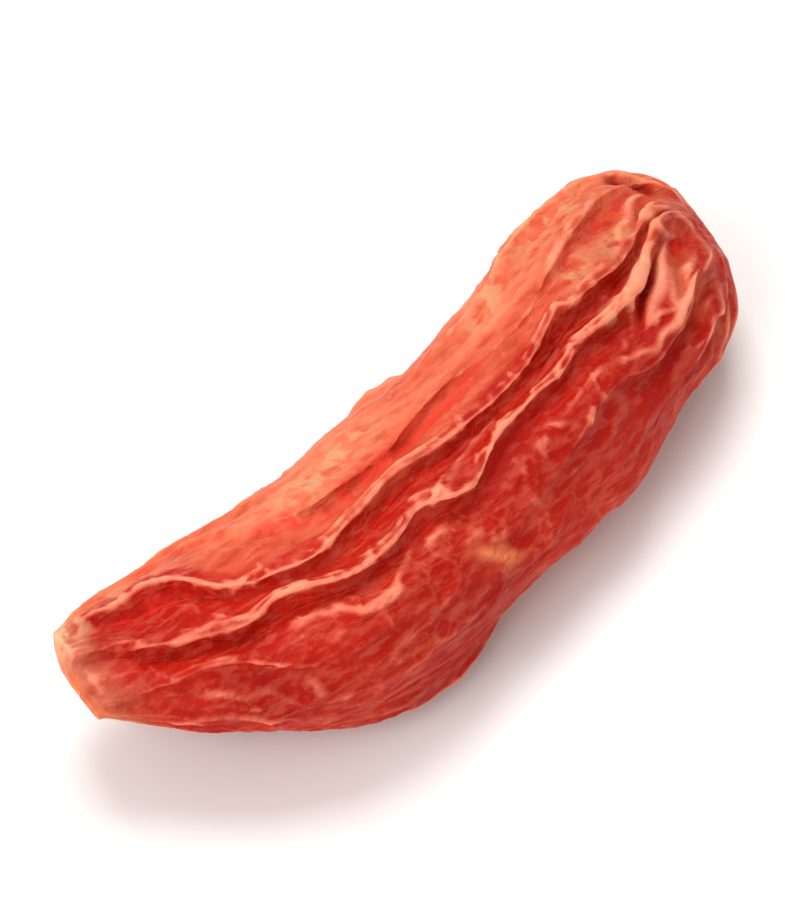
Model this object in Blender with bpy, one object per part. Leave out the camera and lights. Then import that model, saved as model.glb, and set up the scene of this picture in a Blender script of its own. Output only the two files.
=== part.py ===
"""Dried goji berry: one closed body of shrunken skin and flesh, lying on its belly.

+X runs from the stalk scar to the pucker where the style sat, +Z is up, z = 0 is the surface the
berry lies on, and the origin is under the middle of its box. The skin is a sphere of columns and
rings pulled into the berry's shape: each long fold is a column of the sphere, so its crest stays a
sharp line, and the skin between two crests drops under the lip of one and climbs to the next.
"""
import math
import random
from bisect import bisect_right
from collections import namedtuple

import bmesh
import bpy
import numpy as np
from mathutils import Vector, noise

MM = 0.001

# Driving dimensions, in millimetres.
FLATNESS = 0.82             # height of a section over its width
SEEN_WIDTH = 0.956          # half width seen from the front and above, over the half width along Y
REST_CUT = 0.26             # height of the belly that is pressed flat
CREST_WIDTH = 0.10          # width of a crest on the side where its lip hangs
SLOPE_WIDTH = 0.34          # width of a crest on the side where it climbs
GROOVE_REACH = 0.30         # how far below a crest its groove is deepest
GROOVE_WIDTH = 0.24         # half width of a groove
FOLD_ROOM = 1.5             # half width of a section under which its folds shrink towards the poles
CROWDING = 0.5              # how far the columns between two crests crowd towards the crests
RIPPLE = 0.10               # height of the low unevenness all over the skin
RIPPLE_PITCH = 1.4          # distance from one lump of it to the next
GIRTH_RADIUS = 2.3          # mean radius of the berry, round which the unevenness is laid
SHORT_FOLD_WIDTH = 0.19     # half width of a drawn short fold
SMALLEST_EDGE = 0.004       # shorter edges that the cut leaves are closed up

WANDER_DEGREES = 3.2        # how far a crest wanders to each side of its path
WANDER_STEPS = 14           # lumps of that wandering along the berry
SWELL = 0.6                 # how far a crest's height varies along it, as a share
SWELL_STEPS = 13            # lumps of that along the berry
RINGS = 61                  # steps from the scar's centre to the pucker's
COLUMNS_PER_FOLD = 7        # columns of skin from one crest to the next
SEED = 11

# Side view: place along the skin (0 scar, 1 pucker), X in mm, half width in mm as seen from the front.
OUTLINE = [
    (0.000, -8.70, 0.00), (0.018, -8.74, 0.26), (0.034, -8.95, 0.46), (0.050, -8.98, 0.62),
    (0.064, -8.85, 0.84), (0.082, -8.62, 1.06), (0.109, -8.10, 1.28), (0.142, -7.42, 1.60),
    (0.173, -6.75, 1.84), (0.238, -5.40, 2.26), (0.300, -4.10, 2.52), (0.349, -3.06, 2.61),
    (0.394, -2.12, 2.61), (0.457, -0.79, 2.56), (0.552, 1.19, 2.45), (0.615, 2.52, 2.56),
    (0.678, 3.83, 2.66), (0.741, 5.17, 2.58), (0.804, 6.40, 2.44), (0.842, 7.15, 2.28),
    (0.877, 7.85, 1.95), (0.901, 8.28, 1.58), (0.920, 8.55, 1.20), (0.940, 8.66, 0.86),
    (0.958, 8.54, 0.58), (0.976, 8.20, 0.32), (1.000, 7.75, 0.00),
]

# The spine bows towards -Y, most at a third of the length, and rises a little at both ends: place along
# and mm.
BOW = [
    (0.05, 0.0), (0.07, 0.16), (0.11, -0.03), (0.17, -0.64), (0.24, -1.17), (0.35, -1.57), (0.46, -1.39),
    (0.55, -1.27), (0.68, -0.80), (0.74, -0.38), (0.80, -0.13), (0.86, 0.0), (0.92, -0.05), (1.0, -0.35),
]
LIFT = [
    (0.0, 0.35), (0.05, 0.35), (0.07, 0.47), (0.11, 0.29), (0.30, 0.07), (0.50, 0.0), (0.70, 0.07),
    (0.85, 0.25), (0.92, 0.40), (1.0, 0.75),
]

# The rings lean, so that each is seen edge-on by a viewer in front, above and to the left: place along, and
# how far a ring leans along X for each mm towards the viewer, who stands at VIEWER_DEGREES from straight up.
# Past that lean the scar turns a little away from the viewer, and the pucker a little towards them.
RING_LEAN = [(0.0, 0.35), (0.06, 0.36), (0.14, 0.42), (0.30, 0.47), (0.80, 0.47), (0.90, 0.50), (0.94, 0.62),
             (1.0, 0.72)]
VIEWER_DEGREES = -29

# A long fold. path: place along and the crest's angle, in degrees from straight up towards +Y.
# height and groove: place along and mm, of the crest and of the groove under its lip, which is on the
# side where the angle falls. lean: mm that the lip hangs over its groove.
Fold = namedtuple("Fold", "path height groove lean")
ShortFold = namedtuple("ShortFold", "x angle radius way height width")

# The folds of the side that faces the viewer, from the top of the berry down.
CREASE = Fold(
    path=[(0.07, 78), (0.22, 74), (0.27, 62), (0.32, 50), (0.45, 42), (0.60, 44), (0.70, 42), (0.80, 41),
          (0.88, 48), (1.0, 60)],
    height=[(0.05, 0.04), (0.20, 0.10), (0.30, 0.06), (0.45, 0.05), (0.60, 0.10), (0.72, 0.14), (0.84, 0.16),
            (0.93, 0.20)],
    groove=[(0.05, 0.0), (0.20, 0.08), (0.40, 0.03), (0.60, 0.06), (0.74, 0.12), (0.86, 0.18), (0.94, 0.28)],
    lean=0.02,
)
SHOULDER = Fold(
    path=[(0.07, 62), (0.22, 58), (0.27, 42), (0.32, 25), (0.36, 16), (0.41, 11), (0.47, 10), (0.52, 17),
          (0.57, 18), (0.65, 9), (0.72, 9), (0.77, 13), (0.82, 19), (0.88, 27), (1.0, 35)],
    height=[(0.05, 0.05), (0.16, 0.16), (0.24, 0.10), (0.33, 0.14), (0.42, 0.22), (0.52, 0.18), (0.62, 0.08),
            (0.72, 0.14), (0.82, 0.20), (0.92, 0.22)],
    groove=[(0.05, 0.0), (0.16, 0.12), (0.26, 0.05), (0.36, 0.22), (0.45, 0.28), (0.55, 0.16), (0.64, 0.06),
            (0.76, 0.10), (0.86, 0.22), (0.95, 0.30)],
    lean=0.03,
)
MAIN = Fold(
    path=[(0.05, 45), (0.11, 40), (0.15, 31), (0.18, 32), (0.205, 27), (0.225, 19), (0.24, 9), (0.27, 0),
          (0.32, -5), (0.40, -4), (0.47, 0), (0.51, -2), (0.58, -4), (0.67, -6), (0.71, -5), (0.75, -9),
          (0.80, -13), (0.835, -11), (0.87, -4), (0.91, 3), (1.0, 8)],
    height=[(0.05, 0.06), (0.13, 0.20), (0.22, 0.27), (0.30, 0.27), (0.40, 0.30), (0.52, 0.26), (0.62, 0.26),
            (0.74, 0.32), (0.84, 0.24), (0.92, 0.16)],
    groove=[(0.05, 0.05), (0.12, 0.20), (0.19, 0.30), (0.25, 0.26), (0.32, 0.34), (0.42, 0.28), (0.49, 0.42),
            (0.57, 0.30), (0.66, 0.30), (0.73, 0.50), (0.82, 0.44), (0.90, 0.28)],
    lean=0.07,
)
RUFFLED = Fold(
    path=[(0.05, 5), (0.11, 0), (0.15, -10), (0.21, -15), (0.24, -18), (0.29, -13), (0.32, -15),
          (0.375, -21), (0.435, -22), (0.465, -19), (0.50, -24), (0.53, -26), (0.56, -22), (0.60, -18),
          (0.64, -16), (0.68, -20), (0.72, -22), (0.75, -26), (0.78, -27), (0.81, -24), (0.84, -19),
          (0.87, -14), (0.92, -12), (1.0, -14)],
    height=[(0.05, 0.05), (0.12, 0.20), (0.20, 0.26), (0.30, 0.30), (0.40, 0.32), (0.47, 0.26), (0.52, 0.36),
            (0.62, 0.28), (0.70, 0.24), (0.78, 0.22), (0.84, 0.22), (0.92, 0.14)],
    groove=[(0.05, 0.05), (0.13, 0.26), (0.22, 0.40), (0.31, 0.34), (0.40, 0.34), (0.50, 0.26), (0.58, 0.22),
            (0.68, 0.36), (0.76, 0.38), (0.84, 0.34), (0.92, 0.28)],
    lean=0.07,
)
LOWER = Fold(
    path=[(0.05, -52), (0.09, -58), (0.13, -43), (0.19, -33), (0.23, -37), (0.265, -47), (0.37, -51),
          (0.50, -57), (0.61, -49), (0.675, -43), (0.73, -47), (0.76, -54), (0.81, -56), (0.87, -52),
          (1.0, -52)],
    height=[(0.05, 0.05), (0.13, 0.20), (0.20, 0.22), (0.27, 0.10), (0.36, 0.04), (0.52, 0.04), (0.64, 0.08),
            (0.74, 0.22), (0.83, 0.28), (0.92, 0.24)],
    groove=[(0.05, 0.05), (0.14, 0.12), (0.23, 0.12), (0.31, 0.03), (0.55, 0.03), (0.68, 0.08), (0.78, 0.20),
            (0.86, 0.28), (0.94, 0.25)],
    lean=0.05,
)

BELLY = Fold(
    path=[(0.05, -82), (0.15, -84), (0.25, -76), (0.35, -80), (0.50, -82), (0.62, -74), (0.75, -80),
          (0.88, -78), (1.0, -80)],
    height=[(0.05, 0.05), (0.14, 0.14), (0.24, 0.07), (0.38, 0.05), (0.50, 0.09), (0.62, 0.05), (0.75, 0.10),
            (0.85, 0.18), (0.93, 0.18)],
    groove=[(0.05, 0.05), (0.16, 0.10), (0.28, 0.04), (0.50, 0.06), (0.68, 0.03), (0.82, 0.14),
            (0.93, 0.24)],
    lean=0.02,
)
HEM = Fold(
    path=[(0.05, -106), (0.20, -108), (0.33, -102), (0.50, -106), (0.65, -103), (0.80, -108), (1.0, -106)],
    height=[(0.05, 0.05), (0.15, 0.08), (0.33, -0.10), (0.42, -0.06), (0.60, 0.12), (0.75, 0.06),
            (0.88, 0.14)],
    groove=[(0.05, 0.05), (0.18, 0.06), (0.35, 0.12), (0.52, 0.06), (0.66, 0.14), (0.80, 0.10),
            (0.93, 0.26)],
    lean=0.03,
)

# Folds of the sides that the viewer doesn't see: the mean angle of each, in degrees. They wander round it
# by WANDER_OTHER, and change at the places in OTHER_STOPS.
OTHER_ANGLES = (-130, -156, -181, -205, -228, -249, -268)
OTHER_STOPS = (0.05, 0.16, 0.27, 0.38, 0.49, 0.60, 0.71, 0.82, 0.93)
WANDER_OTHER = 7

# Short folds that join or cross the long ones: place along and degrees of each end, height in mm, and
# half width in mm. A negative height is a crease.
SHORT_FOLDS = [
    (0.474, -6, 0.505, -26, 0.16, 0.22),
    (0.775, -34, 0.815, -26, 0.14, 0.20),
    (0.800, -46, 0.885, -26, 0.22, 0.17),
    (0.835, -50, 0.905, -38, 0.18, 0.17),
    (0.250, -44, 0.275, -78, 0.14, 0.20),
    (0.345, -31, 0.405, -42, 0.12, 0.20),
    (0.300, -60, 0.380, -74, 0.10, 0.22),
    (0.400, -46, 0.440, -70, 0.10, 0.22),
    (0.455, -62, 0.560, -84, 0.10, 0.24),
    (0.500, -44, 0.545, -62, 0.13, 0.20),
    (0.600, -30, 0.625, -56, 0.10, 0.22),
    (0.640, -34, 0.705, -60, 0.10, 0.22),
    (0.180, -62, 0.240, -92, 0.10, 0.18),
    (0.150, -70, 0.230, -108, -0.08, 0.16),
    (0.600, 36, 0.740, 22, -0.10, 0.18),
    (0.700, 46, 0.860, 36, 0.12, 0.20),
    (0.825, -40, 0.900, -20, -0.20, 0.15),
    (0.840, 2, 0.900, 16, -0.18, 0.17),
    (0.860, 28, 0.915, 40, -0.14, 0.16),
    (0.160, 78, 0.270, 70, 0.10, 0.20),
]

# Short folds drawn at random over the hidden sides: how many, and the range of their start along the berry
# and round it, their reach along it, their turn round it in degrees, and their height.
DRAWN_SHORT_FOLDS = 70
DRAWN_PLACE = (0.12, 0.86)
DRAWN_ANGLE = (-265, -132)
DRAWN_REACH = (0.02, 0.07)
DRAWN_TURN = (8, 24)
DRAWN_HEIGHT = (0.07, 0.20)

# Broad dents where the flesh sank: place along, degrees, reach along as a share of the length, spread in
# degrees, and depth in mm.
DENTS = [
    (0.36, 118, 0.13, 24, 0.40),
    (0.70, 96, 0.10, 22, 0.32),
    (0.60, -128, 0.15, 20, 0.28),
    (0.19, 7, 0.05, 14, 0.24),
    (0.63, -70, 0.08, 18, 0.10),
]


def curve(points, place):
    """Values at one place on a smooth line through hand-set points, level beyond its ends."""
    places = [point[0] for point in points]
    values = np.array([point[1:] for point in points], dtype=float)
    slopes = np.gradient(values, places, axis=0)
    place = min(max(place, places[0]), places[-1])
    i = min(bisect_right(places, place), len(places) - 1) - 1
    span = places[i + 1] - places[i]
    s = (place - places[i]) / span
    start = (1 + 2 * s) * (1 - s) ** 2 * values[i] + s * (1 - s) ** 2 * span * slopes[i]
    end = s * s * (3 - 2 * s) * values[i + 1] - s * s * (1 - s) * span * slopes[i + 1]
    result = start + end
    return result[0] if len(result) == 1 else result


def drawn_fold(angle, draw):
    """A fold of a hidden side: it wanders round its mean angle, and rises and dies away along the berry."""
    inner = OTHER_STOPS[1:-1]
    height = [0.05] + [draw.uniform(0.06, 0.34) for _ in inner] + [0.18]
    groove = [0.05] + [draw.uniform(0.08, 0.42) for _ in inner] + [0.28]
    return Fold(
        path=[(stop, angle + draw.uniform(-WANDER_OTHER, WANDER_OTHER)) for stop in OTHER_STOPS],
        height=list(zip(OTHER_STOPS, height)),
        groove=list(zip(OTHER_STOPS, groove)),
        lean=draw.uniform(0.0, 0.06),
    )


def drawn_short_fold(draw):
    """A short fold of a hidden side; one in three is a crease."""
    place, angle = draw.uniform(*DRAWN_PLACE), draw.uniform(*DRAWN_ANGLE)
    reach, turn = draw.uniform(*DRAWN_REACH), draw.choice((-1, 1)) * draw.uniform(*DRAWN_TURN)
    height = draw.choice((-1, 1, 1)) * draw.uniform(*DRAWN_HEIGHT)
    return short_fold((place, angle, place + reach, angle + turn, height, SHORT_FOLD_WIDTH))


def section(place):
    """Centre and half widths of the berry's smooth section at one place along it."""
    x, seen = curve(OUTLINE, place)
    half_y = seen / SEEN_WIDTH
    return Vector((x, curve(BOW, place), curve(LIFT, place))), half_y, half_y * FLATNESS


def short_fold(ends):
    """A short fold as a start point and a way along, both in mm of the skin laid flat, with its size."""
    start_place, start_angle, end_place, end_angle, height, width = ends
    centre, half_y, half_z = section((start_place + end_place) / 2)
    radius = (half_y + half_z) / 2
    start_x, end_x = curve(OUTLINE, start_place)[0], curve(OUTLINE, end_place)[0]
    way = np.array((end_x - start_x, math.radians(end_angle - start_angle) * radius))
    return ShortFold(start_x, start_angle, radius, way, height, width)


def short_fold_height(fold, x, angle):
    """Height that one short fold adds at the points of a ring. It is highest halfway along."""
    turn = (angle - fold.angle + 180) % 360 - 180
    across = np.radians(turn) * fold.radius
    share = np.clip(((x - fold.x) * fold.way[0] + across * fold.way[1]) / fold.way.dot(fold.way), 0, 1)
    distance = np.hypot(x - fold.x - share * fold.way[0], across - share * fold.way[1])
    taper = 0.35 + 0.65 * np.sin(math.pi * (0.15 + 0.7 * share))
    return fold.height * taper * np.exp(-(distance / fold.width) ** 2)


def dent_depth(dent, place, angle):
    """Depth of one broad dent at the points of a ring."""
    dent_place, dent_angle, reach, spread, depth = dent
    turn = (angle - dent_angle + 180) % 360 - 180
    return depth * np.exp(-((place - dent_place) / reach) ** 2 - (turn / spread) ** 2)


def fold_rise(share, below, above, upper, lower):
    """Height of the skin between two crests: share of the way down, and mm below the upper and above the
    lower crest. upper is the upper fold's height and groove, lower is the lower fold's height."""
    lip = upper[0] * np.exp(-below / CREST_WIDTH)
    sunk = upper[1] * np.exp(-((below - GROOVE_REACH) / GROOVE_WIDTH) ** 2) * (1 - share ** 4)
    climb = lower * np.exp(-above / SLOPE_WIDTH) * (1 - (1 - share) ** 4)
    return lip - sunk + climb


def unevenness(x, turns):
    """Smooth noise round one ring, between about -0.7 and 0.7."""
    return np.array([
        noise.noise(Vector((x, GIRTH_RADIUS * math.sin(turn), GIRTH_RADIUS * math.cos(turn))) / RIPPLE_PITCH)
        for turn in turns
    ])


def noise_along(place, steps, folds, layer):
    """Smooth noise along the berry, another for each fold; layer picks which of the two uses it is for."""
    return np.array([noise.noise(Vector((place * steps, k * math.pi, layer))) for k in range(len(folds))])


def skin_ring(place, folds, short_folds):
    """The points of one ring of skin, column by column, in mm."""
    centre, half_y, half_z = section(place)
    radius = max((half_y + half_z) / 2, 0.05)
    room = min(1.0, radius / FOLD_ROOM)
    crests = np.array([curve(fold.path, place) for fold in folds])
    crests += WANDER_DEGREES * noise_along(place, WANDER_STEPS, folds, layer=1.3)
    heights = np.array([curve(fold.height, place) for fold in folds]) * room
    heights *= 1 + SWELL * noise_along(place, SWELL_STEPS, folds, layer=7.9)
    grooves = np.array([curve(fold.groove, place) for fold in folds]) * room
    leans = np.array([fold.lean for fold in folds]) * room
    upper = np.repeat(np.arange(len(folds)), COLUMNS_PER_FOLD)
    lower = (upper + 1) % len(folds)
    share = np.tile(np.arange(COLUMNS_PER_FOLD), len(folds)) / COLUMNS_PER_FOLD
    share = share - CROWDING * np.sin(2 * math.pi * share) / (2 * math.pi)
    next_crests = np.append(crests[1:], crests[0] - 360)
    angle = crests[upper] + (next_crests[upper] - crests[upper]) * share
    below_upper = np.radians(crests[upper] - angle) * radius
    above_lower = np.radians(angle - next_crests[upper]) * radius
    rise = fold_rise(share, below_upper, above_lower, (heights[upper], grooves[upper]), heights[lower])
    rise += sum(short_fold_height(fold, centre.x, angle) for fold in short_folds) * room
    rise -= sum(dent_depth(dent, place, angle) for dent in DENTS) * room
    turns = np.radians(angle)
    rise += RIPPLE * room * unevenness(centre.x, turns)
    lips = leans[upper] * np.exp(-below_upper / CREST_WIDTH)
    to_viewer = Vector((0, math.sin(math.radians(VIEWER_DEGREES)), math.cos(math.radians(VIEWER_DEGREES))))
    ring_lean = curve(RING_LEAN, place)
    points = []
    for turn, out, lip in zip(turns, rise, lips):
        outward = Vector((0, half_z * math.sin(turn), half_y * math.cos(turn)))
        if outward.length > 0:
            outward.normalize()
        arm = Vector((0, half_y * math.sin(turn), half_z * math.cos(turn))) + outward * out
        arm += Vector((0, -outward.z, outward.y)) * lip
        arm.x = -ring_lean * arm.dot(to_viewer)
        points.append(centre + arm)
    return points


def make_skin(folds, short_folds):
    """A sphere of one column per step round the folds, with every vertex moved to its place on the skin."""
    number = COLUMNS_PER_FOLD * len(folds)
    skin = bmesh.new()
    bmesh.ops.create_uvsphere(skin, u_segments=number, v_segments=RINGS, radius=1.0)
    rings = {}
    for vertex in skin.verts:
        ring = round(math.acos(max(-1.0, min(1.0, -vertex.co.z))) / math.pi * RINGS)
        column = round(math.atan2(vertex.co.y, vertex.co.x) / (2 * math.pi) * number) % number
        if ring not in rings:
            rings[ring] = skin_ring(ring / RINGS, folds, short_folds)
        pole = ring in (0, RINGS)
        vertex.co = (section(ring / RINGS)[0] if pole else rings[ring][column]) * MM
    return skin


def press_rest_spot(skin):
    """Cuts the belly flat where the berry lies, and puts the cut on z = 0 under the middle of the box."""
    floor = min(vertex.co.z for vertex in skin.verts) + REST_CUT * MM
    bmesh.ops.bisect_plane(
        skin, geom=skin.verts[:] + skin.edges[:] + skin.faces[:], dist=1e-7,
        plane_co=(0, 0, floor), plane_no=(0, 0, -1), clear_outer=True,
    )
    bmesh.ops.holes_fill(skin, edges=[edge for edge in skin.edges if edge.is_boundary], sides=0)
    bmesh.ops.dissolve_degenerate(skin, edges=skin.edges, dist=SMALLEST_EDGE * MM)
    places = np.array([vertex.co for vertex in skin.verts])
    middle = (places.min(axis=0) + places.max(axis=0)) / 2
    bmesh.ops.translate(skin, verts=skin.verts, vec=(-middle[0], -middle[1], -floor))


def dried_skin_material():
    material = bpy.data.materials.new("dried_skin")
    material.use_nodes = True
    shader = material.node_tree.nodes["Principled BSDF"]
    shader.inputs["Base Color"].default_value = (0.52, 0.06, 0.03, 1)
    shader.inputs["Roughness"].default_value = 0.45
    shader.inputs["Metallic"].default_value = 0.0
    return material


def make_berry(collection):
    draw = random.Random(SEED)
    folds = [CREASE, SHOULDER, MAIN, RUFFLED, LOWER, BELLY, HEM]
    folds += [drawn_fold(angle, draw) for angle in OTHER_ANGLES]
    short_folds = [short_fold(ends) for ends in SHORT_FOLDS]
    short_folds += [drawn_short_fold(draw) for _ in range(DRAWN_SHORT_FOLDS)]
    skin = make_skin(folds, short_folds)
    press_rest_spot(skin)
    bmesh.ops.recalc_face_normals(skin, faces=skin.faces)
    bmesh.ops.triangulate(skin, faces=skin.faces)
    mesh = bpy.data.meshes.new("berry")
    skin.to_mesh(mesh)
    skin.free()
    mesh.shade_smooth()
    mesh.materials.append(dried_skin_material())
    berry = bpy.data.objects.new("berry", mesh)
    collection.objects.link(berry)


for leftover in list(bpy.data.objects):
    bpy.data.objects.remove(leftover, do_unlink=True)
dried_goji_berry = bpy.data.collections.new("dried_goji_berry")
bpy.context.scene.collection.children.link(dried_goji_berry)
make_berry(dried_goji_berry)
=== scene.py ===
"""Looks of the dried goji berry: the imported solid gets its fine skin, and a studio to stand in."""
import math

import bmesh
import bpy
import numpy as np
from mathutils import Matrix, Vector, noise


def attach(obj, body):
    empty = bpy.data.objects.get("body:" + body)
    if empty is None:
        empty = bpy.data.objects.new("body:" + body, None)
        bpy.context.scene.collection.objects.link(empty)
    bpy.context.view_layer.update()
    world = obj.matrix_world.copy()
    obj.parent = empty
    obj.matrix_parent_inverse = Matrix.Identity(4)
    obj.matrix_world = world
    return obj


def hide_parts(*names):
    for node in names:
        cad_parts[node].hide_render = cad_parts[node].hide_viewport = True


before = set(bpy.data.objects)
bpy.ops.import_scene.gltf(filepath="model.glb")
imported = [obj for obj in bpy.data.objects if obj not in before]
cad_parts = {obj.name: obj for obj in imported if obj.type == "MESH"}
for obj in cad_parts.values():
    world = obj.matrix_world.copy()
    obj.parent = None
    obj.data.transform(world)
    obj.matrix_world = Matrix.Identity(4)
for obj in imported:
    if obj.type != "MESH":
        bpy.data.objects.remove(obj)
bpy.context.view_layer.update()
MM = 0.001


# The skin of the berry. The real one is a thin waxy skin that shrank onto the sticky flesh as it dried,
# so it lies in long folds with sharp lips, and between them in fine wrinkles. It starts from a merged copy
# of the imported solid, is subdivided, and is then worked over as a sculptor would.
SUBDIVISIONS = 2
FLAT_QUAD = math.radians(80)    # two triangles bent less than this are joined again into one face
FAIR_QUAD = math.radians(120)   # unless its corners are further than this from right angles
SKIN_RADIUS = 2.3               # mm, mean radius round which the wrinkles are laid
RING_LEAN = 0.47                # how far the berry's sections lean along X for each mm towards the viewer
VIEW_TURN = math.radians(-29)   # from straight up to the side that faces the viewer
FLATNESS = 0.82                 # height of a section over its width
CREASE_FROM = math.radians(14)  # folds bent more than this keep a crisp edge
CREASE_FULL = math.radians(60)  # and from here on the crispest
CREASE_MOST = 0.85
LIP_ROUNDS = 4                  # rounds of evening out that take the edge off a lip
FOLD_ROUNDS = 30                # that flatten a fold
LOBE_ROUNDS = 60                # and that flatten the broadest of them
LIP_STANDS = (0.02, 0.12)       # mm over the skin round it: a lip starts, and is full
HOLLOW_SINKS = (0.01, 0.10)     # mm under the skin round it: the same for a hollow
LIP_SHARPENING = 0.08           # how much further each fold stands out
EDGE_SHARPENING = 0.6           # and the very edge of its lip
HOLLOW_FILL = 0.70              # how much shallower the grooves are than the sharp grooves of the solid
RUFFLE = 0.045                  # mm, waves of a lip to each side
RUFFLE_PITCH = 0.85             # mm, from one wave to the next
NOTCH = 0.035                   # mm, small dents along a lip
NOTCH_PITCH = 0.28              # mm
WRINKLE_HEIGHT = 0.055          # mm, thin wrinkles that run along the berry
WRINKLE_LENGTH = 2.2            # mm
WRINKLE_PITCH = 0.70            # mm, from one to the next
CROSS_HEIGHT = 0.030            # mm, thin wrinkles that run every way
CROSS_LENGTH = 1.0              # mm
CROSS_PITCH = 0.75              # mm
PATCH_LENGTH = 2.6              # mm, patches in which the first kind is high and the second low
PATCH_PITCH = 1.8               # mm
DRIFT = 0.35                    # mm, how far all wrinkles stray from straight
DRIFT_LENGTH = 1.3              # mm
DRIFT_PITCH = 0.9               # mm
FAR_WRINKLES = 0.9              # how much higher both kinds are on the far side, as a share
FAR_SIDE = (80, 115)            # degrees from the viewer: the far side starts, and is full
FINE_HEIGHT = 0.022             # mm, the finest wrinkles
FINE_PITCH = 0.30               # mm
GRAIN_HEIGHT = 0.012            # mm, tiny lumps all over
GRAIN_PITCH = 0.16              # mm
CRUMPLE = 0.09                  # mm, the slanting ridges of the crumpled skin round the pucker
CRUMPLE_LENGTH = 1.5            # mm
CRUMPLE_PITCH = 0.55            # mm
CRUMPLE_SLANT = math.radians(38)
SCALLOP = 0.07                  # mm, lumps of the pucker's rim
SCALLOP_PITCH = 0.50            # mm
TWIST = 0.32                    # mm, how far the folds that run into the pucker stray to each side
TWIST_PITCH = 0.8               # mm
WOBBLE = 0.12                   # mm, how far the single ridges below stray from their points
WOBBLE_PITCH = 0.5              # mm
UNEVENNESS = 0.9                # how much higher or lower they are from place to place, as a share
UNEVEN_PITCH = 0.45             # mm
EVENING_ROUNDS = 3              # rounds that even out the relief by the pucker
PUCKER = (2.8, 1.0)             # mm from the pucker's end: its crumpled skin starts, and is full
PUCKER_RIM = (0.95, 0.6)        # mm from the same end, its lumpy rim
STALK_END = (1.3, 0.3)          # mm from the scar's end, the pale skin round the scar
SCAR_RIM = (0.45, 0.10)         # mm from the same end, the rim of the scar
FADE_AT_PUCKER = (0.15, 0.75)   # mm from each end: no fine relief, and the full relief
FADE_AT_SCAR = (0.1, 0.8)
UPPER_SIDE_STARTS = (0, 7)      # degrees above the main fold: half of its colour starts, and is full
PALEST_STARTS = (-2, 10)        # degrees above the fold over it: the other half
UPPER_SIDE_ENDS = (105, 140)    # degrees from straight up: both fade, and are gone
LOWER_LOBE_STARTS = (28, 42)    # degrees below the main fold: the lower lobe starts, and is full
LOWER_LOBE_ENDS = (100, 125)    # and further below, where it fades, and is gone

# Where the berry's pale upper side ends, and above it the palest lobe: mm along the berry and degrees from
# straight up, along the main fold and along the next one over it.
MAIN_FOLD = [(-8.6, 45), (-7.2, 33), (-5.6, 20), (-4.7, 0), (-2.0, -4), (2.0, -4), (5.0, -9), (8.6, -14)]
LOBE_FOLD = [(-8.6, 42), (-7.2, 38), (-5.6, 28), (-4.1, 18), (-2.8, 12), (-0.4, 12), (0.8, 15), (2.4, 15),
             (4.6, 10), (6.4, 20), (8.6, 30)]

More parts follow.
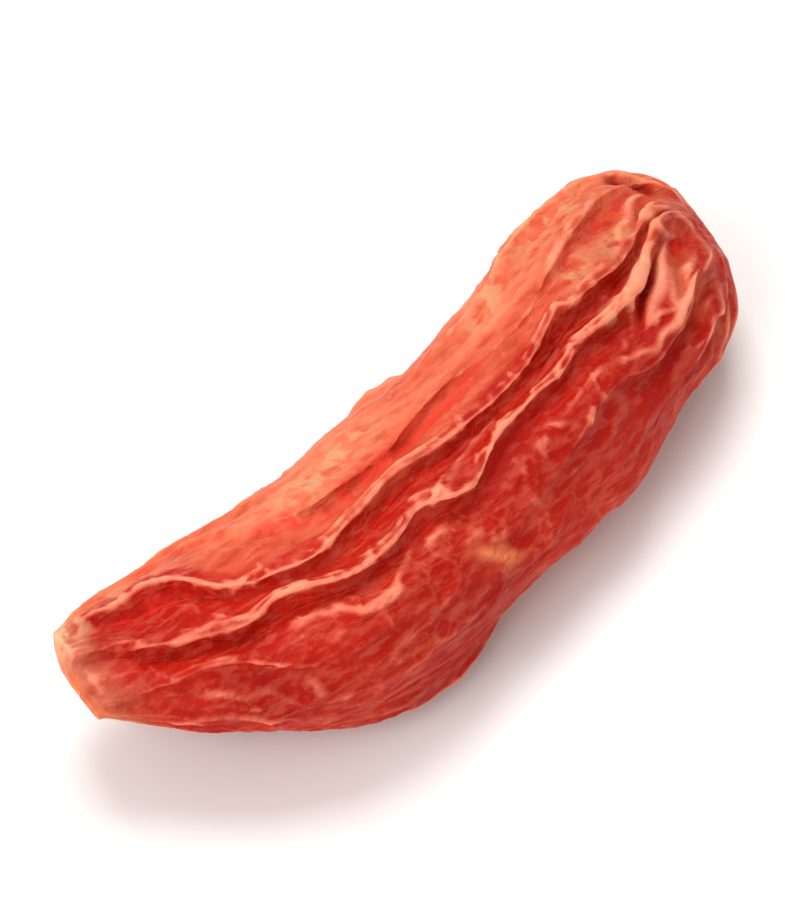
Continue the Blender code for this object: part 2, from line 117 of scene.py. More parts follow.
# Single ridges and creases of the side that faces the viewer: height and half width in mm, then the points
# that it runs through, as mm along the berry and degrees from straight up. A crease has a negative height.
STROKES = [
    # the crumpled skin by the pucker
    (0.12, 0.08, [(6.83, -4), (7.07, 8), (7.27, 12), (7.55, 22), (7.92, 25)]),
    (-0.17, 0.10, [(7.24, -4), (7.44, 3), (7.60, 12), (7.87, 16)]),
    (-0.10, 0.08, [(6.75, 8), (7.05, 18), (7.40, 25)]),
    (0.13, 0.10, [(5.89, -29), (6.19, -23), (6.69, -19), (7.19, -16)]),
    (-0.18, 0.10, [(5.97, -37), (6.54, -29), (6.85, -26), (7.36, -21)]),
    (0.13, 0.10, [(6.36, -39), (6.86, -32), (7.29, -28), (7.69, -18)]),
    (-0.18, 0.10, [(6.93, -42), (7.27, -37), (7.61, -33), (7.77, -17)]),
    (0.12, 0.09, [(6.69, -48), (7.02, -39), (7.44, -35), (7.75, -36), (8.05, -32)]),
    (0.11, 0.09, [(5.13, -40), (5.89, -49), (6.61, -49), (7.07, -45), (7.61, -46), (8.04, -42)]),
    (0.10, 0.09, [(7.45, 5), (7.70, -4), (7.75, -14), (7.95, -22)]),
    (-0.09, 0.10, [(4.53, -31), (5.44, -40), (6.20, -42), (6.67, -42)]),
    (0.06, 0.08, [(5.36, -23), (5.52, -20), (5.82, -21), (6.05, -24)]),
    # the folds that run out over the top of the pucker end
    (0.05, 0.10, [(4.39, 8), (5.28, 12), (5.97, 17), (6.92, 25), (7.45, 42)]),
    (-0.06, 0.10, [(4.23, 5), (5.46, 9), (6.44, 17), (7.10, 23)]),
    (0.06, 0.10, [(5.12, 33), (5.97, 36), (6.76, 37), (7.43, 46)]),
    (0.08, 0.10, [(7.68, 47), (8.07, 49), (8.26, 31), (8.48, 27)]),
    (-0.20, 0.11, [(7.35, 46), (7.76, 41), (8.02, 29), (8.15, 22)]),
    (0.07, 0.10, [(7.98, -1), (8.26, -1), (8.29, -12), (8.33, -40), (8.30, -72)]),
    # the net of wrinkles on the lower lobe
    (0.06, 0.08, [(-3.62, -31), (-3.10, -35), (-2.51, -39), (-2.18, -37), (-1.33, -30), (-0.83, -26)]),
    (0.05, 0.08, [(-2.51, -39), (-2.60, -51)]),
    (0.05, 0.08, [(-3.71, -66), (-2.67, -60), (-1.67, -58), (-0.77, -55)]),
    (0.05, 0.08, [(-3.98, -96), (-2.92, -74), (-1.42, -72), (-0.40, -78)]),
    (0.05, 0.08, [(1.47, -47), (1.73, -62), (1.29, -77)]),
    (0.05, 0.08, [(1.64, -55), (1.64, -46), (1.99, -35)]),
    (0.05, 0.08, [(3.58, -47), (3.82, -44), (3.98, -40)]),
    # the ribbon between the two main folds, and the red line along the upper lobe
    (0.06, 0.09, [(0.11, -19), (0.85, -14), (1.74, -13), (2.33, -20)]),
    (0.05, 0.09, [(-6.90, -20), (-6.10, -14), (-5.20, -12)]),
    (-0.08, 0.12, [(-3.90, 24), (-2.75, 15), (-1.50, 11), (-0.39, 12), (0.79, 17), (2.41, 17), (3.60, 13)]),
    # lengthwise wrinkles by the stalk, on the lower border
    (0.06, 0.09, [(-8.21, -90), (-7.19, -72), (-6.42, -72), (-5.30, -88)]),
    (0.05, 0.09, [(-7.64, -55), (-6.78, -54), (-5.71, -59), (-5.18, -70)]),
    (0.04, 0.08, [(-7.40, -63), (-6.50, -63), (-5.60, -72)]),
]

# A red band of painted shade runs along the upper lobe, over the main fold, just under the palest lobe's
# fold: half width in mm, and its points.
SHADE_BAND_WIDTH = 0.17
SHADE_BAND = [(-3.9, 20), (-2.75, 12), (-1.5, 10), (-0.39, 11), (0.5, 13), (1.5, 11), (2.7, 11)]

# A seed shows through the lower lobe as a pale curl between two pits.
SEED_CURL = [(-0.18, -48), (0.11, -56), (0.36, -65), (0.66, -72)]
SEED_HOOK = [(0.28, -50), (0.45, -54), (0.70, -53)]
SEED_PITS = [(0.33, -44), (0.53, -48), (0.70, -63)]
SEED_HEIGHT = 0.05              # mm
SEED_WIDTH = 0.15               # mm
PIT_DEPTH = 0.08                # mm

# Patches where the skin dried to tan: mm along, degrees, and reach in mm along and round.
DRY_PATCHES = [
    (-2.3, 26, 1.2, 0.50), (-0.9, 34, 0.8, 0.4), (3.45, 35, 0.8, 0.45), (5.59, 3, 0.45, 0.34),
    (6.75, 0, 0.45, 0.36), (5.6, -22, 0.25, 0.16), (5.9, 40, 1.3, 0.7), (-8.2, 33, 0.5, 0.35),
    (-7.4, 50, 0.7, 0.30), (-3.0, 128, 1.6, 0.8), (4.5, 165, 1.2, 0.7), (0.5, -150, 1.4, 0.7),
]


def neighbour_mean(points, edges, rounds):
    """Points, or other columns of values, after some rounds of taking the mean of their neighbours."""
    ends = np.concatenate((edges[:, 0], edges[:, 1]))
    others = np.concatenate((edges[:, 1], edges[:, 0]))
    number = np.bincount(ends, minlength=len(points))[:, None]
    for _ in range(rounds):
        columns = points[others].T
        points = np.stack([np.bincount(ends, column, len(points)) for column in columns], axis=1) / number
    return points


def smooth_step(low, high, value):
    """0 below low, 1 above high, and a smooth ramp between them."""
    share = np.clip((value - low) / (high - low), 0, 1)
    return share * share * (3 - 2 * share)


def noise_at(along, turn, length, pitch, layer=0.0):
    """Smooth noise on the skin, from about -1 to 1, in lumps of one length along the berry and one pitch
    round it. Each use has a layer of its own, any number, so that no two have their lumps in one place."""
    round_y = SKIN_RADIUS * np.sin(turn) / pitch
    round_z = SKIN_RADIUS * np.cos(turn) / pitch
    return np.array([noise.noise(Vector(spot)) for spot in zip(along / length + layer, round_y, round_z)])


def thin_ridges(heights, thinness):
    """Ridges where smooth noise crosses zero: 1 on a ridge, 0 away from it."""
    return np.clip(1 - thinness * np.abs(heights), 0, 1) ** 2


def stroke_at(along, degrees, points, width):
    """How strongly each vertex lies on a stroke through some points of the skin: 1 on it, fading to 0 over
    its half width, and towards its two ends."""
    nearest = np.full(len(along), np.inf)
    strength = np.zeros(len(along))
    across = np.radians(degrees) * SKIN_RADIUS
    for i, (start, end) in enumerate(zip(points, points[1:])):
        start_across, end_across = (math.radians(point[1]) * SKIN_RADIUS for point in (start, end))
        way = (end[0] - start[0], end_across - start_across)
        covered = (along - start[0]) * way[0] + (across - start_across) * way[1]
        share = np.clip(covered / (way[0] ** 2 + way[1] ** 2), 0, 1)
        distance = np.hypot(along - start[0] - share * way[0], across - start_across - share * way[1])
        taper = 0.3 + 0.7 * np.sin(math.pi * (i + share) / (len(points) - 1)) ** 0.6
        strength = np.where(distance < nearest, taper, strength)
        nearest = np.minimum(nearest, distance)
    return strength * np.exp(-(nearest / width) ** 1.5)


def patch_at(along, degrees, patch):
    """How strongly each vertex lies in a patch: 1 at its middle, fading to 0."""
    middle_along, middle_degrees, reach_along, reach_round = patch
    turned = np.radians((degrees - middle_degrees + 180) % 360 - 180) * SKIN_RADIUS
    return np.exp(-((along - middle_along) / reach_along) ** 2 - (turned / reach_round) ** 2)


shape = bmesh.new()
shape.from_mesh(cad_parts["berry"].data)
bmesh.ops.remove_doubles(shape, verts=shape.verts, dist=0.001 * MM)
bmesh.ops.join_triangles(
    shape, faces=shape.faces, angle_face_threshold=FLAT_QUAD, angle_shape_threshold=FAIR_QUAD,
)
crisp = shape.edges.layers.float.new("crease_edge")
for bend in shape.edges:
    share = (bend.calc_face_angle(0) - CREASE_FROM) / (CREASE_FULL - CREASE_FROM)
    bend[crisp] = CREASE_MOST * min(max(share, 0), 1)
coarse = bpy.data.meshes.new("coarse_skin")
shape.to_mesh(coarse)
shape.free()
carrier = bpy.data.objects.new("coarse_skin", coarse)
bpy.context.scene.collection.objects.link(carrier)
subdivision = carrier.modifiers.new("finer", "SUBSURF")
subdivision.levels = subdivision.render_levels = SUBDIVISIONS
skin_mesh = bpy.data.meshes.new_from_object(carrier.evaluated_get(bpy.context.evaluated_depsgraph_get()))
bpy.data.objects.remove(carrier)
skin_mesh.name = "berry_skin"

points = np.zeros(len(skin_mesh.vertices) * 3)
skin_mesh.vertices.foreach_get("co", points)
points = points.reshape(-1, 3) / MM
edges = np.zeros(len(skin_mesh.edges) * 2, dtype=int)
skin_mesh.edges.foreach_get("vertices", edges)
edges = edges.reshape(-1, 2)


def evened_out(values, rounds, share):
    """One value for each vertex, after some rounds in which it moves towards its neighbours' mean: halfway
    where share is 1, and not at all where it is 0."""
    for _ in range(rounds):
        values = values + 0.5 * share * (neighbour_mean(values[:, None], edges, 1)[:, 0] - values)
    return values


def vertex_normals(points):
    """Outward unit normal of the skin at each vertex."""
    skin_mesh.vertices.foreach_set("co", (points * MM).ravel())
    skin_mesh.update()
    normals = np.zeros(len(points) * 3)
    skin_mesh.vertex_normals.foreach_get("vector", normals)
    return normals.reshape(-1, 3)


def standing_out(points, rounds):
    """How far each vertex stands out over the skin round it, in mm. More rounds reach further round."""
    return ((points - neighbour_mean(points, edges, rounds)) * vertex_normals(points)).sum(axis=1)


# Every vertex's place on the skin: mm along the berry's leaning sections, and its turn from straight up. The
# berry's middle line is a smooth curve through the skin's points.
to_viewer = np.array((math.sin(VIEW_TURN), math.cos(VIEW_TURN)))
along = points[:, 0] + RING_LEAN * (points[:, 1:] - points[:, 1:].mean(axis=0)) @ to_viewer
middle_y = np.polyval(np.polyfit(along, points[:, 1], 5), along)
middle_z = np.polyval(np.polyfit(along, points[:, 2], 4), along)
turn = np.arctan2(points[:, 1] - middle_y, (points[:, 2] - middle_z) / FLATNESS)
degrees = np.degrees(turn)
first, last = along.min(), along.max()
above_main = degrees - np.interp(along, *zip(*MAIN_FOLD))
above_lobe = degrees - np.interp(along, *zip(*LOBE_FOLD))

# The kinds of skin, each 1 in its own place and 0 away from it. The pale upper side starts in two steps, at
# the main fold and at the lobe over it, and ends at the back. Its paleness is partly the skin's own tone and
# partly painted light, where the light falls on top.
pale_and_lit_upper_side = 0.5 * smooth_step(*UPPER_SIDE_STARTS, above_main) + 0.5 * smooth_step(*PALEST_STARTS, above_lobe)
pale_and_lit_upper_side *= 1 - smooth_step(*UPPER_SIDE_ENDS, degrees)
from_scar = along - first
from_pucker = last - along
pucker = 1 - smooth_step(PUCKER[1], PUCKER[0], from_pucker)
stalk_end = 1 - smooth_step(STALK_END[1], STALK_END[0], from_scar)
scar_rim = 1 - smooth_step(SCAR_RIM[1], SCAR_RIM[0], from_scar)
off_the_ends = smooth_step(*FADE_AT_SCAR, from_scar) * smooth_step(*FADE_AT_PUCKER, from_pucker)

# The folds: what stands out over the skin round it is pushed out further, most at the edge of each lip, and
# the sharp grooves are made shallower. Then the lips are ruffled, and the folds by the pucker stray.
normals = vertex_normals(points)
standing = standing_out(points, FOLD_ROUNDS)
edge = standing_out(points, LIP_ROUNDS)
lip = smooth_step(*LIP_STANDS, standing)
hollow = smooth_step(*HOLLOW_SINKS, -standing)
filled = HOLLOW_FILL * np.maximum(-standing, 0)
sharpened = LIP_SHARPENING * standing + EDGE_SHARPENING * edge * (1 - 0.8 * pucker)
points = points + normals * (sharpened + filled)[:, None]
ruffle = noise_at(along, turn, RUFFLE_PITCH, RUFFLE_PITCH * 1.4, layer=40)
around = np.stack((np.zeros(len(points)), np.cos(turn), -np.sin(turn)), axis=1)
twist = noise_at(along, turn, TWIST_PITCH, TWIST_PITCH, layer=211) * pucker * off_the_ends
points += around * (RUFFLE * ruffle * lip + TWIST * twist)[:, None]

# The fine relief, less in the hollows, where the skin is drawn tight, and least at the scar and the pucker.
# In some patches its wrinkles run along the berry, and between them every way.
drift = DRIFT * noise_at(along, turn, DRIFT_LENGTH, DRIFT_PITCH, layer=7)
lengthwise = noise_at(along + drift, turn + 0.2 * drift, WRINKLE_LENGTH, WRINKLE_PITCH)
wrinkle = thin_ridges(lengthwise, thinness=5.0)
every_way = noise_at(along - drift, turn, CROSS_LENGTH, CROSS_PITCH, layer=23)
cross = thin_ridges(every_way, thinness=5.0)
finest = noise_at(along, turn + 0.3 * drift, 2.5 * FINE_PITCH, FINE_PITCH, layer=51)
fine = thin_ridges(finest, thinness=3.0)
patchy = np.clip(0.5 + 1.3 * noise_at(along, turn, PATCH_LENGTH, PATCH_PITCH, layer=90), 0.1, 1)
from_viewer = np.abs((degrees - math.degrees(VIEW_TURN) + 180) % 360 - 180)
far_wrinkles = 1 + FAR_WRINKLES * smooth_step(*FAR_SIDE, from_viewer)
grain = noise_at(along, turn, GRAIN_PITCH, GRAIN_PITCH, layer=17)
relief = WRINKLE_HEIGHT * wrinkle * (0.35 + 0.65 * patchy) * far_wrinkles
relief += CROSS_HEIGHT * cross * (1.1 - patchy) * far_wrinkles
relief += FINE_HEIGHT * fine
relief += GRAIN_HEIGHT * grain
relief += NOTCH * noise_at(along, turn, NOTCH_PITCH, 4 * NOTCH_PITCH, layer=111) * lip
slanted_along = along * math.cos(CRUMPLE_SLANT) + turn * SKIN_RADIUS * math.sin(CRUMPLE_SLANT)
slanted_turn = turn * math.cos(CRUMPLE_SLANT) - along / SKIN_RADIUS * math.sin(CRUMPLE_SLANT)
crumple_noise = noise_at(slanted_along + drift, slanted_turn, CRUMPLE_LENGTH, CRUMPLE_PITCH, layer=63)
crumple = thin_ridges(crumple_noise, thinness=4.0)
seam_fade = 1 - smooth_step(120, 170, np.abs(degrees))  # the slanted noise doesn't meet itself underneath
crumple *= pucker * seam_fade * (0.45 + 0.55 * smooth_step(35, 70, np.abs(degrees + 5)))
relief += CRUMPLE * crumple
at_rim = 1 - smooth_step(PUCKER_RIM[1], PUCKER_RIM[0], from_pucker)
relief += SCALLOP * noise_at(along, turn, 4 * SCALLOP_PITCH, SCALLOP_PITCH, layer=171) * at_rim
relief *= 1 - 0.6 * hollow
astray_along = along + WOBBLE * noise_at(along, turn, WOBBLE_PITCH, WOBBLE_PITCH, layer=131)
sideways = noise_at(along, turn, WOBBLE_PITCH, WOBBLE_PITCH, layer=141)
astray_degrees = degrees + np.degrees(WOBBLE / SKIN_RADIUS) * sideways
uneven = 1 + UNEVENNESS * noise_at(along, turn, UNEVEN_PITCH, UNEVEN_PITCH, layer=151)
on_strokes = [
    height * stroke_at(astray_along, astray_degrees, route, width) for height, width, route in STROKES
]
curl = stroke_at(astray_along, astray_degrees, SEED_CURL, SEED_WIDTH)
hook = stroke_at(astray_along, astray_degrees, SEED_HOOK, SEED_WIDTH)
seed = np.maximum(curl, 0.7 * hook)
pits = sum(stroke_at(along, degrees, [pit, (pit[0] + 0.12, pit[1] - 2)], SEED_WIDTH) for pit in SEED_PITS)
relief += sum(on_strokes) * uneven + SEED_HEIGHT * seed - PIT_DEPTH * pits
relief *= off_the_ends
relief = evened_out(relief, EVENING_ROUNDS, pucker)
points = points + vertex_normals(points) * relief[:, None]
points[:, 2] = np.maximum(points[:, 2], 0)
skin_mesh.vertices.foreach_set("co", (points * MM).ravel())
skin_mesh.update()
skin_mesh.shade_smooth()

skin = bpy.data.objects.new("berry_skin", skin_mesh)
bpy.context.scene.collection.objects.link(skin)


def keep_on_skin(name, values):
    """Stores one number for each vertex, which the skin's material reads by name."""
    attribute = skin_mesh.attributes.new(name, "FLOAT", "POINT")
    attribute.data.foreach_set("value", values.astype(np.float32))


# How far the skin stands out over the skin round it, in mm, where a colour starts and where it is full: close
# by, at an edge, and further off, as a fold. A hollow sinks in as far.
PALE_EDGE = (0.003, 0.030)
PALE_FOLD = (0.0, 0.16)
MAIN_LIP_EDGE = (-0.005, 0.015)
MAIN_LIP_FOLD = (0.10, 0.24)
HOLLOW_EDGE = (0.0, 0.03)
HOLLOW_FOLD = (0.03, 0.25)
CREASE_DEPTH = (0.03, 0.12)

# What the material reads: where each of these colours lies, and the marks above. The lower lobe's lips are
# less pale than the others.
edge = standing_out(points, LIP_ROUNDS)
fold = standing_out(points, LOBE_ROUNDS)
lower_lobe = smooth_step(*LOWER_LOBE_STARTS, -above_main) * (1 - smooth_step(*LOWER_LOBE_ENDS, -above_main))
lower_lobe *= 1 - pucker
# The pale lips are partly the thin skin's own paler tone and partly painted highlight on their crests.
pale_lip_and_highlight = smooth_step(*PALE_EDGE, edge) * (0.30 + 0.70 * smooth_step(*PALE_FOLD, fold))
keep_on_skin("lip", pale_lip_and_highlight * (1 - 0.65 * lower_lobe))
# Painted light: the hollows are painted a brighter red than the flesh, standing in for the light that reaches
# into them.
sunk = smooth_step(*HOLLOW_EDGE, -edge) * 0.35 + smooth_step(*HOLLOW_FOLD, -fold) * 0.65
# Painted shade: the band under the palest lobe's fold is painted with the hollows' red.
shade_band = stroke_at(astray_along, astray_degrees, SHADE_BAND, SHADE_BAND_WIDTH)
keep_on_skin("hollow", np.maximum(sunk, 0.7 * shade_band))
ridge = np.maximum(np.max(on_strokes, axis=0), CRUMPLE * crumple)
ridge = evened_out(evened_out(ridge, 1, 1), 4, pucker)
keep_on_skin("ridge", smooth_step(0.015 + 0.015 * pucker, 0.09, ridge) * (1 - 0.3 * lower_lobe))
# Painted shade: the creases are painted a darker red, standing in for the shade that falls in them.
crease = evened_out(-np.min(on_strokes, axis=0), EVENING_ROUNDS, pucker)
keep_on_skin("crease", smooth_step(*CREASE_DEPTH, crease))
keep_on_skin("main_lip_and_highlight", smooth_step(*MAIN_LIP_FOLD, fold) * smooth_step(*MAIN_LIP_EDGE, edge))
# Painted shade: the pale upper side is painted a quarter weaker towards the pucker end, which gets less
# light.
keep_on_skin("pale_and_lit_upper_side", pale_and_lit_upper_side * (0.75 + 0.25 * smooth_step(1.5, 4.0, from_pucker)))
keep_on_skin("pucker", pucker)
keep_on_skin("stalk_end", stalk_end * (0.3 + 0.7 * smooth_step(-10, 35, degrees)))
keep_on_skin("scar_rim", scar_rim)
keep_on_skin("seed", np.clip(seed - pits, 0, 1))
keep_on_skin("dry", np.clip(sum(patch_at(along, degrees, patch) for patch in DRY_PATCHES), 0, 1))

# Colours of the dried skin, as linear light.
BODY_RED = (0.35, 0.0055, 0.0023, 1)
BODY_ORANGE = (0.46, 0.014, 0.005, 1)
SALMON = (0.76, 0.165, 0.075, 1)
# Painted shade, for the creases.
CREASE_SHADE_RED = (0.26, 0.003, 0.001, 1)
# Painted light in the hollows, and painted shade in the band under the palest lobe.
HOLLOW_LIGHT_RED = (0.74, 0.024, 0.011, 1)
# Partly the skin's pale tone and partly painted highlight: for the lips and ridges, and the pale mottles.
PALE_PINK_AND_HIGHLIGHT = (0.90, 0.29, 0.175, 1)
# Partly the skin's pale tone and partly painted highlight, for the ridges by the pucker.
TIP_CREAM_AND_HIGHLIGHT = (0.92, 0.40, 0.25, 1)
DRY_TAN = (0.60, 0.31, 0.16, 1)
CREAM = (0.82, 0.46, 0.26, 1)
RIM_ORANGE = (0.72, 0.17, 0.055, 1)
DOT_BROWN = (0.30, 0.15, 0.05, 1)
SEED_YELLOW = (0.82, 0.22, 0.09, 1)


def add_node(tree, kind, label, values=None, **settings):
    """One shader node, with its settings and the values of its input sockets."""
    node = tree.nodes.new(kind)
    node.label = label
    for name, value in settings.items():
        setattr(node, name, value)
    for socket, value in (values or {}).items():
        node.inputs[socket].default_value = value
    return node


def attribute_value(tree, name):
    """The number that each vertex keeps under this name."""
    return add_node(tree, "ShaderNodeAttribute", name, attribute_name=name).outputs["Fac"]


def painted_over(tree, label, below, colour, amount):
    """A colour laid over another one, as thick as amount says."""
    mix = add_node(tree, "ShaderNodeMix", label, data_type="RGBA")
    tree.links.new(amount, mix.inputs["Factor"])
    if isinstance(below, tuple):
        mix.inputs["A"].default_value = below
    else:
        tree.links.new(below, mix.inputs["A"])
    mix.inputs["B"].default_value = colour
    return mix.outputs["Result"]


def ramped(tree, label, value, low, high, to_low=0.0, to_high=1.0):
    """A value turned into a smooth ramp from low to high."""
    ramp = add_node(
        tree, "ShaderNodeMapRange", label,
        {"From Min": low, "From Max": high, "To Min": to_low, "To Max": to_high},
        interpolation_type="SMOOTHSTEP",
    )
    tree.links.new(value, ramp.inputs["Value"])
    return ramp.outputs["Result"]


def times(tree, label, first, second):
    """The product of two values, of which the second may be a plain number."""
    product = add_node(tree, "ShaderNodeMath", label, operation="MULTIPLY")
    tree.links.new(first, product.inputs[0])
    if isinstance(second, float):
        product.inputs[1].default_value = second
    else:
        tree.links.new(second, product.inputs[1])
    return product.outputs["Value"]


# The material paints from the flesh outwards. Its noise lies round 0.5, so most of its ramps run from about
# 0.3 to 0.6.
dried_skin = bpy.data.materials.new("dried_berry_skin")
dried_skin.use_nodes = True
tree = dried_skin.node_tree
shader = tree.nodes["Principled BSDF"]
place = add_node(tree, "ShaderNodeTexCoord", "place on the berry")
drawn_out = add_node(tree, "ShaderNodeMapping", "drawn out along the berry", {"Scale": (0.35, 1, 1)})
tree.links.new(place.outputs["Object"], drawn_out.inputs["Vector"])
NET_STRAY = 0.35 * MM


def skin_noise(label, scale, stretched=True, detail=4.0):
    """Noise on the berry's own coordinates, in lumps a metre, drawn out along it where stretched."""
    values = {"Scale": scale, "Detail": detail, "Roughness": 0.55}
    cloud = add_node(tree, "ShaderNodeTexNoise", label, values)
    source = drawn_out.outputs["Vector"] if stretched else place.outputs["Object"]
    tree.links.new(source, cloud.inputs["Vector"])
    return cloud.outputs["Fac"]


def uneven_amount(name, cloud, low, high, least, most):
    """How thick a colour lies on the skin that has an attribute: from least to most, as noise runs from low
    to high."""
    thickness = ramped(tree, f"{name}, thin and thick", cloud, low, high, least, most)
    return times(tree, f"{name}, uneven", attribute_value(tree, name), thickness)


def wrinkle_net(tree):
    """A net of thin lines, as of skin shrunk on flesh: 1 on a line and 0 in its cells."""
    stray = add_node(tree, "ShaderNodeTexNoise", "stray", {"Scale": 2500.0, "Detail": 2.0})
    tree.links.new(place.outputs["Object"], stray.inputs["Vector"])
    moved = add_node(tree, "ShaderNodeVectorMath", "strayed place", operation="MULTIPLY_ADD")
    moved.inputs[1].default_value = (NET_STRAY, NET_STRAY, NET_STRAY)
    tree.links.new(stray.outputs["Color"], moved.inputs[0])
    tree.links.new(drawn_out.outputs["Vector"], moved.inputs[2])
    cells = add_node(tree, "ShaderNodeTexVoronoi", "cells", {"Scale": 2600.0}, feature="DISTANCE_TO_EDGE")
    tree.links.new(moved.outputs["Vector"], cells.inputs["Vector"])
    return ramped(tree, "thin lines", cells.outputs["Distance"], 0.0, 0.11, 1.0, 0.0)


# The flesh, and the paler upper side, both mottled. The upper side's salmon is partly the skin's own tone and
# partly painted light from above.
blotches = ramped(tree, "blotches of thinner flesh", skin_noise("flesh", 420.0), 0.38, 0.66)
colour = painted_over(tree, "flesh under the skin", BODY_RED, BODY_ORANGE, blotches)
mottles = ramped(tree, "fine mottles", skin_noise("mottle", 4200.0, detail=3.0), 0.46, 0.66, 0.0, 0.14)
dark_mottles = ramped(
    tree, "fine dark mottles", skin_noise("mottle", 4200.0, detail=3.0), 0.34, 0.50, 0.35, 0.0,
)
lobe_amount = uneven_amount("pale_and_lit_upper_side", skin_noise("bloom", 700.0), 0.30, 0.62, 0.55, 1.0)
colour = painted_over(tree, "salmon upper lobe", colour, SALMON, lobe_amount)
colour = painted_over(tree, "fine dark mottles", colour, BODY_RED, dark_mottles)
colour = painted_over(tree, "fine pale mottles", colour, PALE_PINK_AND_HIGHLIGHT, mottles)

# Hollows painted a brighter red as painted light, lips and ridges pale, partly the skin's tone and partly
# painted highlight, creases painted dark as painted shade, and a faint net over them.
colour = painted_over(tree, "red hollows", colour, HOLLOW_LIGHT_RED, attribute_value(tree, "hollow"))
lip_noise = skin_noise("lip colour", 2200.0, stretched=False)
lip_and_highlight_amount = uneven_amount("lip", lip_noise, 0.30, 0.60, 0.45, 1.0)
colour = painted_over(tree, "pale lips", colour, PALE_PINK_AND_HIGHLIGHT, times(tree, "thin lips", lip_and_highlight_amount, 0.85))
broad_lips_and_highlight = uneven_amount("main_lip_and_highlight", skin_noise("broad lip", 900.0), 0.30, 0.60, 0.55, 0.95)
colour = painted_over(tree, "broad pale lips", colour, PALE_PINK_AND_HIGHLIGHT, broad_lips_and_highlight)
# The pale ridges too are partly the skin's tone and partly painted highlight.
colour = painted_over(
    tree, "pale ridges", colour, PALE_PINK_AND_HIGHLIGHT, times(tree, "thin ridges", attribute_value(tree, "ridge"), 0.6),
)
# The ridges by the pucker are painted cream, partly their own tone and partly painted highlight.
pale_tip_and_highlight = times(
    tree, "ridges by the pucker", attribute_value(tree, "ridge"), attribute_value(tree, "pucker"),
)
colour = painted_over(
    tree, "cream ridges by the pucker", colour, TIP_CREAM_AND_HIGHLIGHT, times(tree, "thin cream", pale_tip_and_highlight, 0.8),
)
# Painted shade: dark red in the creases.
colour = painted_over(
    tree, "dark creases", colour, CREASE_SHADE_RED,
    times(tree, "thin creases", attribute_value(tree, "crease"), 0.9),
)
net = wrinkle_net(tree)
net_patches = ramped(tree, "where the net shows", skin_noise("net patches", 500.0), 0.42, 0.62, 0.0, 0.18)
colour = painted_over(tree, "pale net", colour, SALMON, times(tree, "faint net", net, net_patches))

# The patches that dried to tan, the crust by the pucker, the scar with its dots and rim, and the seed.
broken_up = ramped(tree, "broken up", skin_noise("dry", 2600.0, stretched=False), 0.40, 0.60)
dry_amount = times(tree, "where the skin dried out", attribute_value(tree, "dry"), broken_up)
colour = painted_over(tree, "dry tan patches", colour, DRY_TAN, times(tree, "thin tan", dry_amount, 0.75))
crust = ramped(tree, "crust", skin_noise("crust", 1300.0, stretched=False), 0.44, 0.62)
crust_amount = times(tree, "crust on the pucker's lips", crust, attribute_value(tree, "pucker"))
crust_amount = times(tree, "thin crust", crust_amount, 0.25)
colour = painted_over(tree, "orange crust", colour, RIM_ORANGE, crust_amount)
scar_noise = skin_noise("scar", 2600.0, stretched=False)
scar_amount = uneven_amount("stalk_end", scar_noise, 0.30, 0.62, 0.25, 0.85)
colour = painted_over(tree, "cream scar", colour, CREAM, scar_amount)
dots = add_node(tree, "ShaderNodeTexVoronoi", "dots", {"Scale": 4200.0})
tree.links.new(place.outputs["Object"], dots.inputs["Vector"])
dot_amount = times(
    tree, "dots on the scar", ramped(tree, "small dots", dots.outputs["Distance"], 0.16, 0.34, 0.75, 0.0),
    attribute_value(tree, "stalk_end"),
)
colour = painted_over(tree, "brown dots", colour, DOT_BROWN, dot_amount)
rim_noise = skin_noise("rim", 3200.0, stretched=False)
rim_amount = uneven_amount("scar_rim", rim_noise, 0.35, 0.60, 0.25, 0.9)
colour = painted_over(tree, "orange rim of the scar", colour, RIM_ORANGE, rim_amount)
seed_noise = skin_noise("seed", 3000.0, stretched=False)
seed_amount = uneven_amount("seed", seed_noise, 0.30, 0.52, 0.35, 1.0)
colour = painted_over(tree, "seed", colour, SEED_YELLOW, seed_amount)
tree.links.new(colour, shader.inputs["Base Color"])

# The sheen, and the relief that is finer than the mesh: striations, pores and the net.
waxy = ramped(tree, "waxy and dull skin", skin_noise("wax", 1600.0), 0.35, 0.65, 0.38, 0.62)
tree.links.new(waxy, shader.inputs["Roughness"])
striations = add_node(tree, "ShaderNodeMapping", "drawn out into striations", {"Scale": (0.14, 1, 1)})
tree.links.new(place.outputs["Object"], striations.inputs["Vector"])
lines = add_node(tree, "ShaderNodeTexNoise", "striations", {"Scale": 9000.0, "Detail": 3.0})
tree.links.new(striations.outputs["Vector"], lines.inputs["Vector"])
fine_lines = add_node(tree, "ShaderNodeBump", "fine lines", {"Strength": 0.85, "Distance": 0.04 * MM})
tree.links.new(lines.outputs["Fac"], fine_lines.inputs["Height"])
pores = add_node(tree, "ShaderNodeBump", "pores", {"Strength": 0.8, "Distance": 0.03 * MM})
tree.links.new(skin_noise("pore", 9000.0, stretched=False, detail=3.0), pores.inputs["Height"])
tree.links.new(fine_lines.outputs["Normal"], pores.inputs["Normal"])
net_relief = add_node(tree, "ShaderNodeBump", "net of wrinkles", {"Strength": 0.4, "Distance": 0.03 * MM})
tree.links.new(net, net_relief.inputs["Height"])
tree.links.new(pores.outputs["Normal"], net_relief.inputs["Normal"])
tree.links.new(net_relief.outputs["Normal"], shader.inputs["Normal"])

# Light spreads in the flesh, red the furthest. The wax on it is thin and shines little.
shader.inputs["Subsurface Weight"].default_value = 0.50
shader.inputs["Subsurface Radius"].default_value = (1.0, 0.20, 0.10)
shader.inputs["Subsurface Scale"].default_value = 0.50 * MM
shader.inputs["Coat Weight"].default_value = 0.02
shader.inputs["Coat Roughness"].default_value = 0.28
shader.inputs["Specular IOR Level"].default_value = 0.07
skin_mesh.materials.clear()
skin_mesh.materials.append(dried_skin)

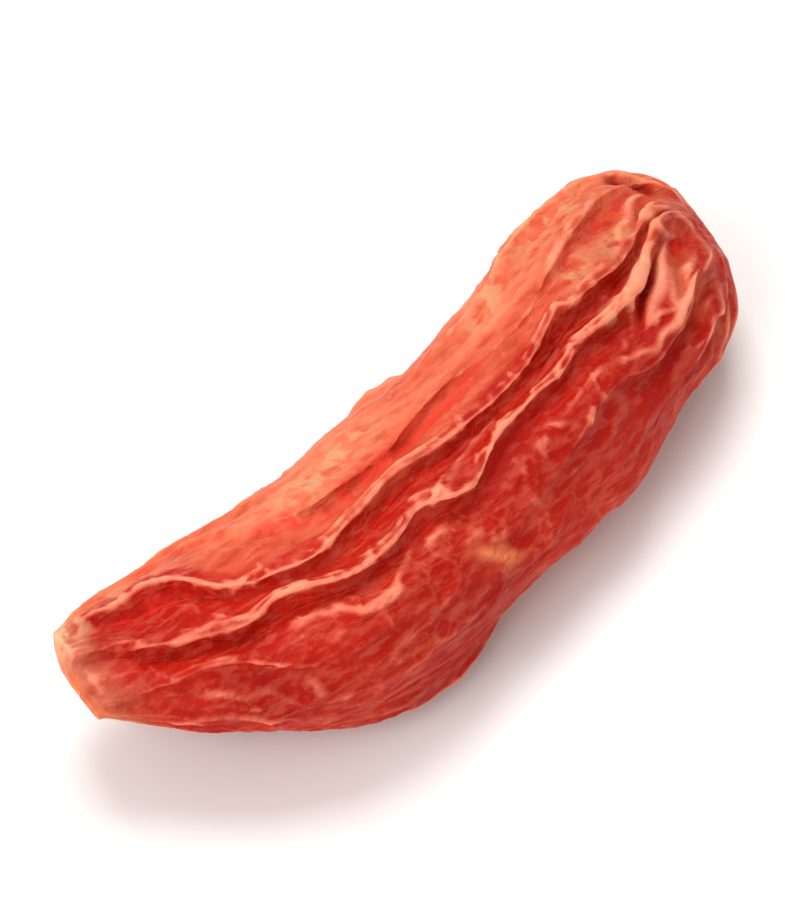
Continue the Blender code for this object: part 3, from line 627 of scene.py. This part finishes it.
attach(skin, "root")
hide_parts("berry")


# The floor. The berry lies on a sheet of smooth pale card, far larger than it, so that only its own soft
# shadow shows beside it.
FLOOR_REACH = 1.5               # m, from its middle to each side
CARD_WHITE = (0.86, 0.85, 0.84, 1)

floor_shape = bmesh.new()
bmesh.ops.create_grid(floor_shape, x_segments=1, y_segments=1, size=FLOOR_REACH)
floor_mesh = bpy.data.meshes.new("floor")
floor_shape.to_mesh(floor_mesh)
floor_shape.free()
floor = bpy.data.objects.new("floor", floor_mesh)
bpy.context.scene.collection.objects.link(floor)
card = bpy.data.materials.new("pale_card")
card.use_nodes = True
card.node_tree.nodes["Principled BSDF"].inputs["Base Color"].default_value = CARD_WHITE
card.node_tree.nodes["Principled BSDF"].inputs["Roughness"].default_value = 0.85
floor_mesh.materials.append(card)


# The camera looks down on the berry's flank as in the photograph, through a long lens, so that the folds
# show with little perspective. The light is a soft panel above and behind the berry, a larger one to the
# left of the camera, and a pale room.
CAMERA_AZIMUTH = math.radians(-44)
CAMERA_ELEVATION = math.radians(52)
CAMERA_DISTANCE = 0.175         # m
CAMERA_LENS = 340               # mm
AIM = Vector((0.0, 0.00095, 0.0025))
ROOM_WHITE = (1.0, 0.97, 0.93, 1)
ROOM_STRENGTH = 0.62

back = Vector((
    math.sin(CAMERA_AZIMUTH) * math.cos(CAMERA_ELEVATION),
    -math.cos(CAMERA_AZIMUTH) * math.cos(CAMERA_ELEVATION),
    math.sin(CAMERA_ELEVATION),
))
right = Vector((math.cos(CAMERA_AZIMUTH), math.sin(CAMERA_AZIMUTH), 0))
up = back.cross(right)
camera = bpy.data.objects.new("camera", bpy.data.cameras.new("camera"))
camera.data.lens = CAMERA_LENS
camera.data.clip_start = 0.01
camera.location = AIM + back * CAMERA_DISTANCE
camera.rotation_euler = back.to_track_quat("Z", "Y").to_euler()
bpy.context.scene.collection.objects.link(camera)
bpy.context.scene.camera = camera


def soft_panel(name, direction, distance, size, power):
    """A square area light that shines on the berry from one direction, in metres and watts."""
    panel = bpy.data.objects.new(name, bpy.data.lights.new(name, "AREA"))
    panel.data.size = size
    panel.data.energy = power
    direction = direction.normalized()
    panel.location = AIM + direction * distance
    panel.rotation_euler = direction.to_track_quat("Z", "Y").to_euler()
    bpy.context.scene.collection.objects.link(panel)


from_above = up * 0.85 + back * 0.55 - right * 0.10
from_the_left = back * 0.9 - right * 0.5 - up * 0.1
soft_panel("overhead_panel", from_above, distance=0.35, size=0.18, power=0.80)
soft_panel("front_panel", from_the_left, distance=0.45, size=0.30, power=1.28)
room = bpy.data.worlds.new("pale_room")
room.use_nodes = True
room.node_tree.nodes["Background"].inputs["Color"].default_value = ROOM_WHITE
room.node_tree.nodes["Background"].inputs["Strength"].default_value = ROOM_STRENGTH
bpy.context.scene.world = room
bpy.context.scene.view_settings.view_transform = "Standard"
